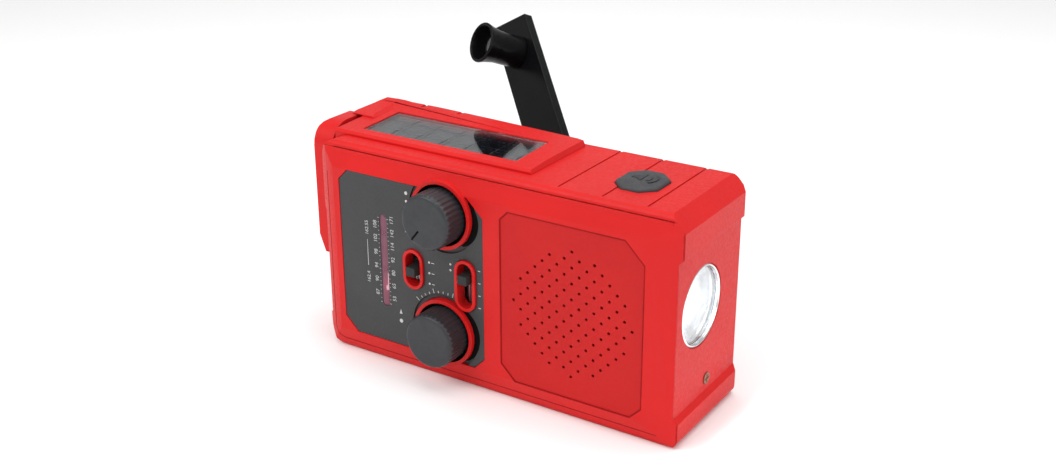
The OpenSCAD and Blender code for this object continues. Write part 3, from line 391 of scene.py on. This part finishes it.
def add_piece(name, mesh, body, material, replaced=()):
    """A finished mesh becomes a named piece that rides on a body."""
    piece = bpy.data.objects.new(name, mesh)
    bpy.context.scene.collection.objects.link(piece)
    mesh.materials.append(material)
    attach(piece, body)
    if replaced:
        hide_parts(*replaced)
    return piece


def mesh_of_rings(name, rings, capped=True):
    """Joins closed rings of points, in millimetres, into one skin, or into a hollow loop."""
    mesh = bpy.data.meshes.new(name)
    work = bmesh.new()
    count = len(rings[0])
    rows = [[work.verts.new(Vector(p) * MM) for p in ring] for ring in rings]
    following = rows[1:] if capped else rows[1:] + rows[:1]
    for first, second in zip(rows, following):
        for i in range(count):
            j = (i + 1) % count
            work.faces.new((first[i], first[j], second[j], second[i]))
    if capped:
        work.faces.new(list(reversed(rows[0])))
        work.faces.new(rows[-1])
    bmesh.ops.recalc_face_normals(work, faces=work.faces)
    work.to_mesh(mesh)
    work.free()
    mesh.shade_smooth()
    mesh.set_sharp_from_angle(angle=math.radians(40))
    return mesh


def slab_mesh(name, outlines, low, high, place):
    """Thin slabs of flat outlines between two heights. place turns (u, v, height) to mm."""
    mesh = bpy.data.meshes.new(name)
    work = bmesh.new()
    for outline in outlines:
        lower = [work.verts.new(Vector(place(u, v, low)) * MM) for u, v in outline]
        upper = [work.verts.new(Vector(place(u, v, high)) * MM) for u, v in outline]
        work.faces.new(upper)
        work.faces.new(list(reversed(lower)))
        for i in range(len(outline)):
            j = (i + 1) % len(outline)
            work.faces.new((lower[i], lower[j], upper[j], upper[i]))
    bmesh.ops.recalc_face_normals(work, faces=work.faces)
    work.to_mesh(mesh)
    work.free()
    return mesh


def arc_points(cx, cy, r, start, end, steps):
    """Points along an arc, angles in degrees."""
    angles = [math.radians(start + (end - start) * i / steps) for i in range(steps + 1)]
    return [(cx + r * math.cos(a), cy + r * math.sin(a)) for a in angles]


def band_outline(cx, cy, inner, outer, start, end, steps=24):
    """Outline of a curved band between two radii."""
    near = arc_points(cx, cy, inner, start, end, steps)
    far = arc_points(cx, cy, outer, end, start, steps)
    return near + far


# --- Printed dial marks -------------------------------------------------------------------

DIAL_FACE_Y = box_mm("dial_plate")[0].y
# The case's front stands this far in front of the dial
CASE_FRONT_STEP = 0.2
INK = 0.04


def on_dial(u, v, height):
    """The dial's u runs along +X and v along +Z; height stands out towards the front."""
    return (u, DIAL_FACE_Y - height, v)


def text_mesh(name, words):
    """Numbers as thin meshes. words holds (text, x, z, size, turn) in mm and degrees."""
    work = bmesh.new()
    for text, x, z, size, turn in words:
        curve = bpy.data.curves.new(name + "_curve", "FONT")
        curve.body = text
        curve.size = size * MM
        curve.extrude = INK / 2 * MM
        curve.align_x = "CENTER"
        curve.align_y = "CENTER"
        curve.resolution_u = 4
        holder = bpy.data.objects.new(name + "_holder", curve)
        bpy.context.scene.collection.objects.link(holder)
        bpy.context.view_layer.update()
        graph = bpy.context.evaluated_depsgraph_get()
        letters = bpy.data.meshes.new_from_object(holder.evaluated_get(graph))
        angle = math.radians(turn)
        along = Vector((math.cos(angle), 0, math.sin(angle)))
        up = Vector((-math.sin(angle), 0, math.cos(angle)))
        out = Vector((0, -1, 0))
        turned = Matrix((along, up, out)).transposed().to_4x4()
        place = Vector((x, DIAL_FACE_Y - INK / 2, z)) * MM
        letters.transform(Matrix.Translation(place) @ turned)
        work.from_mesh(letters)
        bpy.data.objects.remove(holder)
        bpy.data.curves.remove(curve)
        bpy.data.meshes.remove(letters)
    bmesh.ops.remove_doubles(work, verts=work.verts, dist=1e-7)
    mesh = bpy.data.meshes.new(name)
    work.to_mesh(mesh)
    work.free()
    return mesh


def spread(words, x, low, high, size):
    """Words evenly spaced up the dial, each turned to read upwards."""
    step = (high - low) / (len(words) - 1)
    return [(word, x, low + step * i, size, 90) for i, word in enumerate(words)]


window_low, window_high = box_mm("dial_window")
window_x = (window_low.x + window_high.x) / 2
NUMBER_SIZE = 2.15
WEATHER_OFFSET = 7.4
numbers = (
    spread(["87", "90", "94", "98", "102", "108"], window_x - 3.6, 27.5, 53.5,
           NUMBER_SIZE)
    + spread(["53", "65", "80", "92", "114", "142", "171"], window_x + 3.9, 26.5, 56.5,
             NUMBER_SIZE)
    + [("162.4", window_x - WEATHER_OFFSET, 32.5, 2.0, 90)]
    + [("162.55", window_x - WEATHER_OFFSET, 51.5, 2.0, 90)]
)
add_piece("dial_numbers", text_mesh("dial_numbers", numbers), "case", PRINT_WHITE)


def bar(x, z, width, height):
    """Upright rectangle outline on the dial, by its centre."""
    return [
        (x - width / 2, z - height / 2), (x + width / 2, z - height / 2),
        (x + width / 2, z + height / 2), (x - width / 2, z + height / 2),
    ]


knob_x = middle("volume_shaft").x
volume_z = middle("volume_shaft").z
tuning_z = middle("tuning_shaft").z
switch_x = middle("band_switch").x
function_x = middle("function_switch").x
marks = [bar(window_x - WEATHER_OFFSET, 42, 0.22, 10)]


def scale_ticks(x, long_every):
    """Short ticks up the side of the window, with a longer one every few."""
    low, step, count = 24, 1.62, 21
    widths = [0.7 if i % long_every == 0 else 0.4 for i in range(count)]
    return [bar(x, low + i * step, width, 0.16) for i, width in enumerate(widths)]


marks += scale_ticks(window_x - 2.05, 4)
marks += scale_ticks(window_x + 2.05, 5)
# Wedge that shows which way the volume grows, beside dots of growing size
wedge_x = knob_x - 15.2
marks.append([(wedge_x - 1, 53.4), (wedge_x + 1, 53.4), (wedge_x, 56.6)])
marks += [arc_points(wedge_x, 59 + i * 3, 0.3 + 0.12 * i, 0, 330, 11) for i in range(4)]


def around_tuning(radius, angle):
    """A place on the dial at an angle in degrees round the tuning knob."""
    turn = math.radians(angle)
    return (knob_x + radius * math.cos(turn), tuning_z + radius * math.sin(turn))


# Ticks over the tuning knob, and beside both slide switches
TICK_START, TICK_STEP, TICK_HALF = 76, 8, 0.5
for i in range(9):
    angle = TICK_START + i * TICK_STEP
    tip = 15.9 if i % 4 == 0 else 15.1
    corners = ((14.2, -TICK_HALF), (tip, -TICK_HALF), (tip, TICK_HALF), (14.2, TICK_HALF))
    marks.append([around_tuning(radius, angle + side) for radius, side in corners])
marks += [arc_points(switch_x + 6.6, 36.3 + i * 4, 0.42, 0, 330, 11) for i in range(3)]
marks += [bar(switch_x + 8.2, 36.3 + i * 4, 1.2, 0.25) for i in range(3)]
marks += [arc_points(function_x - 6.3, 43.6 + i * 2.2, 0.42, 0, 330, 11) for i in range(2)]
marks += [bar(function_x + 5.6, 32.2 + i * 4.6, 1.0, 0.3) for i in range(4)]
marks.append(arc_points(window_x + 6.5, 18.6, 0.75, 0, 345, 23))
marks.append([(window_x + 5.9, 21.4), (window_x + 7.1, 21.4), (window_x + 6.5, 23.2)])
ticks = slab_mesh("dial_marks", marks, -0.02, INK, on_dial)
add_piece("dial_marks", ticks, "case", PRINT_WHITE)

# Black sheet as painted shadow in the gap on the lamp side of each knob's collar
COLLAR_EDGE = 12.42


def crescent(x, z, start, end, width):
    """Outline between a collar and a larger arc that is widest half way round."""
    steps = 28
    inner = arc_points(x, z, COLLAR_EDGE, start, end, steps)
    outer = []
    for i in range(steps, -1, -1):
        reach = COLLAR_EDGE + 0.08 + width * math.sin(math.pi * i / steps) ** 0.6
        angle = math.radians(start + (end - start) * i / steps)
        outer.append((x + reach * math.cos(angle), z + reach * math.sin(angle)))
    return inner + outer


gaps = [crescent(knob_x, tuning_z, -46, 66, 2.2), crescent(knob_x, volume_z, -52, 30, 2.4)]
gap_mesh = slab_mesh("collar_gap_shadow", gaps, -0.75, 0.03, on_dial)
add_piece("collar_gap_shadow", gap_mesh, "case", SHADOW_BLACK)

# Painted shade: a dark line round the speaker panel
panel_low, panel_high = box_mm("speaker_grille")


def cut_outline(low_x, low_z, high_x, high_z, cuts):
    """Rectangle with cut corners, in the order low left, low right, high right, high left."""
    return [
        (low_x, low_z + cuts[0]), (low_x + cuts[0], low_z),
        (high_x - cuts[1], low_z), (high_x, low_z + cuts[1]),
        (high_x, high_z - cuts[2]), (high_x - cuts[2], high_z),
        (low_x + cuts[3], high_z), (low_x, high_z - cuts[3]),
    ]


PANEL_CUTS = (5.5, 4, 7, 3)
LINE_WIDTH = 0.42
LINE_CUT_GROWTH = 0.17


def on_panel_edge(u, v, height):
    """The panel's u runs along +X and v along +Z; height stands out towards the front."""
    return (u, panel_low.y - 0.2 - height, v)


def panel_shade_line():
    """Eight thin bars of painted shade that follow the panel's edge."""
    edge = cut_outline(panel_low.x, panel_low.z, panel_high.x, panel_high.z, PANEL_CUTS)
    grown = cut_outline(
        panel_low.x - LINE_WIDTH, panel_low.z - LINE_WIDTH,
        panel_high.x + LINE_WIDTH, panel_high.z + LINE_WIDTH,
        [cut + LINE_CUT_GROWTH for cut in PANEL_CUTS],
    )
    bars = []
    for i in range(8):
        j = (i + 1) % 8
        bars.append([edge[i], edge[j], grown[j], grown[i]])
    return slab_mesh("panel_shade_line", bars, -0.3, 0.02, on_panel_edge)


add_piece("panel_shade_line", panel_shade_line(), "case", SHADOW_RED)


# Black linings painted as shade in the wells that the two knobs stand in
def well_mesh(name, centre_z):
    """Thin lining of a collar, painted shade: a flat ring on the floor, turned up along the
    collar's side.
    """
    front = DIAL_FACE_Y - CASE_FRONT_STEP
    floor_y = front + 1.2
    hole, side, back = 3.7, 10.84, 10.97
    profile = [
        (hole, floor_y - 0.06), (side, floor_y - 0.06), (side, front - 1.0),
        (back, front - 1.0), (back, floor_y - 0.02), (hole, floor_y - 0.02),
    ]
    steps = 72
    rings = []
    for r, y in profile:
        circle = arc_points(knob_x, centre_z, r, 0, 360 - 360 / steps, steps - 1)
        rings.append([(x, y, z) for x, z in circle])
    return mesh_of_rings(name, rings, capped=False)


for name, z in (("volume_well_shade", volume_z), ("tuning_well_shade", tuning_z)):
    add_piece(name, well_mesh(name, z), "case", SHADOW_BLACK)

# --- Painted shade: a dark line just inside the outer lip of the front ----------------------

# The front is flat to the right of FLAT_LEFT and above FLAT_LOW
FLAT_LEFT = -66.2
FLAT_LOW = 8.5


def front_surface(x, z):
    """Depth of the case's front: flat in the middle, leaning back at its left and lower border."""
    left_lean = (FLAT_LEFT - x) * 1.7 / 4.3
    low_lean = (FLAT_LOW - z) * 2.3 / 7.6
    return DIAL_FACE_Y - CASE_FRONT_STEP + max(0, left_lean, low_lean)


def ribbon_mesh(name, path, outer, inner, proud):
    """Thin band that follows a path over the front. outer and inner are offsets across it."""
    rings = []
    for i, here in enumerate(path):
        before = Vector(path[max(0, i - 1)])
        after = Vector(path[min(len(path) - 1, i + 1)])
        along = (after - before).normalized()
        across = Vector((along.y, -along.x))
        ring = []
        for offset, lift in ((outer, -0.3), (outer, proud), (inner, proud), (inner, -0.3)):
            spot = Vector(here) - across * offset
            ring.append((spot.x, front_surface(spot.x, spot.y) - lift, spot.y))
        rings.append(ring)
    return mesh_of_rings(name, rings)


LIP_RADIUS = 5.1
LIP_HALF = 0.22
lip_x, lip_z = -65, 9
lip_path = [(lip_x - LIP_RADIUS, z) for z in (69, 40, 12)]
lip_path += arc_points(lip_x, lip_z, LIP_RADIUS, 180, 270, 10)
lip_path += [(x, lip_z - LIP_RADIUS) for x in range(-56, 68, 8)]
lip_mesh = ribbon_mesh("lip_shade_line", lip_path, LIP_HALF, -LIP_HALF, 0.02)
add_piece("lip_shade_line", lip_mesh, "case", SHADOW_RED)

# --- Round knobs ---------------------------------------------------------------------------


def knob_mesh(name, node, ridges=34):
    """Knob with soft ridges round its side, a rounded rim and a very slightly dished face."""
    low, high = box_mm(node)
    centre = (low + high) / 2
    radius = (high.x - low.x) / 2
    per_ridge = 8
    ridge_depth = 0.12
    steps = ridges * per_ridge
    profile = [
        (high.y, radius - 0.1, 1.0), (low.y + 2.2, radius, 1.0), (low.y + 1.5, radius, 1.0),
        (low.y + 1.1, radius - 0.08, 0.8), (low.y + 0.72, radius - 0.3, 0.3),
        (low.y + 0.36, radius - 0.52, 0.0), (low.y + 0.1, radius - 0.88, 0.0),
        (low.y, radius - 1.35, 0.0), (low.y + 0.02, radius - 2.2, 0.0),
        (low.y + 0.12, radius * 0.55, 0.0), (low.y + 0.16, radius * 0.2, 0.0),
    ]
    rings = []
    for y, r, depth in profile:
        ring = []
        for i in range(steps):
            angle = 2 * math.pi * i / steps
            wave = math.cos(i * 2 * math.pi / per_ridge)
            cut = ridge_depth * depth * (1 - 2 * max(-0.5, min(0.5, wave)))
            across, up = (r - cut) * math.cos(angle), (r - cut) * math.sin(angle)
            ring.append((centre.x + across, y, centre.z + up))
        rings.append(ring)
    return mesh_of_rings(name, rings)


def notch_mesh(name, node, angle):
    """Dark pointer line let into a knob's face, running in from the rim."""
    low, high = box_mm(node)
    centre = (low + high) / 2
    radius = (high.x - low.x) / 2
    along = Vector((math.cos(math.radians(angle)), math.sin(math.radians(angle))))
    across = Vector((-along.y, along.x))
    start, end, half = radius - 5.6, radius - 1.0, 0.32
    outline = []
    for u, v in ((start, -half), (end, -half), (end, half), (start, half)):
        spot = along * u + across * v
        outline.append((centre.x + spot.x, centre.z + spot.y))
    return slab_mesh(name, [outline], -0.3, 0.02, lambda u, v, h: (u, low.y - h + 0.02, v))


for node, body in (("volume_knob", "volume"), ("tuning_knob", "tuning")):
    add_piece(node + "_body", knob_mesh(node + "_body", node), body,
              MATERIALS["knob_black"], (node,))
add_piece("volume_pointer", notch_mesh("volume_pointer", "volume_knob", 232), "volume",
          SHADOW_BLACK)

# --- Alarm button ------------------------------------------------------------------------

button_low, button_high = box_mm("alarm_button")
button_centre = middle("alarm_button")


BUTTON_HALF_X, BUTTON_HALF_Y, BUTTON_CUT = 7.8, 9.2, 4.6


def octagon(grow, rounding=0.7):
    """Octagon with slightly rounded corners round the button's centre, in mm."""
    hx, hy = BUTTON_HALF_X + grow, BUTTON_HALF_Y + grow
    cut = BUTTON_CUT + grow * 0.59
    corners = [
        (-hx, -hy + cut), (-hx + cut, -hy), (hx - cut, -hy), (hx, -hy + cut),
        (hx, hy - cut), (hx - cut, hy), (-hx + cut, hy), (-hx, hy - cut),
    ]
    points = []
    for i, corner in enumerate(corners):
        here = Vector(corner)
        before = (Vector(corners[i - 1]) - here).normalized() * rounding
        after = (Vector(corners[(i + 1) % 8]) - here).normalized() * rounding
        points += [here + before, here + (before + after) * 0.28, here + after]
    return [(button_centre.x + p.x, button_centre.y + p.y) for p in points]


top_z = button_high.z + 0.15
# How far the outline grows at each height, from the skirt up to the middle of the crown
levels = [
    (-0.02, button_low.z + 2.2), (0.0, top_z - 1.5), (-0.04, top_z - 1.15),
    (-0.2, top_z - 0.85), (-0.5, top_z - 0.62), (-1.1, top_z - 0.42),
    (-2.4, top_z - 0.2), (-4.4, top_z - 0.05), (-5.4, top_z),
]
rings = [[(x, y, z) for x, y in octagon(grow)] for grow, z in levels]
add_piece("alarm_pad", mesh_of_rings("alarm_pad", rings), "button",
          MATERIALS["button_rubber"], ("alarm_button",))


ICON_SCALE = 1.4


def on_button(u, v, height):
    """The button's u runs along +X and v along +Y, both enlarged; height stands up."""
    return (button_centre.x + u * ICON_SCALE, button_centre.y + v * ICON_SCALE, top_z + height)


# Generic sounder symbol: a small horn with two sound arcs
icon = [
    [(-2.6, -0.8), (-1.3, -0.8), (0.3, -2.1), (0.3, 2.1), (-1.3, 0.8), (-2.6, 0.8)],
    band_outline(-0.2, 0, 2.0, 2.5, -42, 42, 12),
    band_outline(-0.2, 0, 3.4, 3.9, -42, 42, 12),
]
add_piece("alarm_symbol", slab_mesh("alarm_symbol", icon, -0.35, 0.18, on_button), "button",
          MATERIALS["dark_plastic"])

# --- Solar cell's printed grid ----------------------------------------------------------------

cell_low, cell_high = box_mm("solar_cell")


def on_cell(u, v, height):
    return (u, v, cell_high.z + height)


def flat_bar(x0, y0, x1, y1):
    return [(x0, y0), (x1, y0), (x1, y1), (x0, y1)]


CELL_COUNT = 6
CELL_MARGIN = 1
GAP_HALF, WIRE_HALF = 0.16, 0.12
cell_span = (cell_high.x - cell_low.x - 2 * CELL_MARGIN) / CELL_COUNT
lines = []
for i in range(CELL_COUNT + 1):
    x = cell_low.x + CELL_MARGIN + i * cell_span
    lines.append(flat_bar(x - GAP_HALF, cell_low.y + 0.8, x + GAP_HALF, cell_high.y - 0.8))
for y in (cell_low.y + 6.5, cell_high.y - 6.5):
    for i in range(CELL_COUNT):
        x = cell_low.x + CELL_MARGIN + i * cell_span
        lines.append(flat_bar(x + 0.2, y - WIRE_HALF, x + cell_span - 0.2, y + WIRE_HALF))
grid = slab_mesh("solar_grid", lines, -0.01, 0.02, on_cell)
grid_material = plain_plastic("grid_dark", (0.019, 0.021, 0.027), 0.25)
add_piece("solar_grid", grid, "case", grid_material)

# --- Floor, light and camera -----------------------------------------------------------------


# Turns the backdrop square to the camera
FLOOR_TURN = math.radians(32.7)


def floor():
    """Pale floor that curves up into a backdrop, well behind the object."""
    profile = [(-2.2, 0), (1.4, 0)]
    profile += [(1.4 + 0.6 * math.sin(math.radians(a)), 0.6 - 0.6 * math.cos(math.radians(a)))
                for a in range(10, 91, 10)]
    profile.append((2.0, 3.0))
    mesh = bpy.data.meshes.new("floor")
    work = bmesh.new()
    rows = [[work.verts.new((x, y, z)) for y, z in profile] for x in (-3.5, 3.5)]
    for i in range(len(profile) - 1):
        work.faces.new((rows[0][i], rows[1][i], rows[1][i + 1], rows[0][i + 1]))
    work.to_mesh(mesh)
    work.free()
    mesh.shade_smooth()
    shader = Shader("floor", (0.97, 0.97, 0.97), 0.85, specular=0.1)
    shader.mottle(3, 0.004)
    mesh.materials.append(shader.material)
    ground = bpy.data.objects.new("floor", mesh)
    bpy.context.scene.collection.objects.link(ground)
    ground.rotation_euler.z = FLOOR_TURN


def area_light(name, place, target, size, power):
    light = bpy.data.lights.new(name, "AREA")
    light.shape = "RECTANGLE"
    light.size, light.size_y = size
    light.energy = power
    holder = bpy.data.objects.new(name, light)
    bpy.context.scene.collection.objects.link(holder)
    holder.location = place
    direction = Vector(target) - Vector(place)
    holder.rotation_euler = direction.to_track_quat("-Z", "Y").to_euler()


floor()
target = (0, 0, 0.04)
area_light("key", (-0.35, -0.75, 0.75), target, (0.7, 0.5), 5.6)
area_light("top", (0.1, 0.1, 0.9), target, (0.9, 0.9), 5.6)
area_light("side", (0.9, -0.2, 0.45), target, (0.5, 0.7), 2.2)
lamp = middle("lamp_lens") * MM
just_outside = lamp + Vector((0.008, 0, 0))
beam_target = lamp + Vector((0.3, 0, 0))
area_light("lamp_glow", just_outside, beam_target, (0.02, 0.02), 0.04)

world = bpy.data.worlds.new("studio")
world.use_nodes = True
background = world.node_tree.nodes["Background"]
background.inputs["Color"].default_value = (1, 1, 1, 1)
background.inputs["Strength"].default_value = 0.5
bpy.context.scene.world = world
bpy.context.scene.view_settings.view_transform = "Standard"

# Camera fitted to the case's edges in the photo: its place, the way it looks and its roll
EYE = Vector((230.39, -352.17, 227.18)) * MM
LOOK = Vector((-0.50408, 0.78520, -0.35968))
ROLL = math.radians(-0.11)
camera = bpy.data.cameras.new("camera")
camera.sensor_width = 36
camera.lens = 44.945
camera.shift_x = -0.0063
camera.shift_y = -0.0332
camera.clip_start = 0.01
holder = bpy.data.objects.new("camera", camera)
bpy.context.scene.collection.objects.link(holder)
holder.location = EYE
turn = LOOK.to_track_quat("-Z", "Y").to_matrix().to_4x4() @ Matrix.Rotation(ROLL, 4, "Z")
holder.rotation_euler = turn.to_euler()
bpy.context.scene.camera = holder
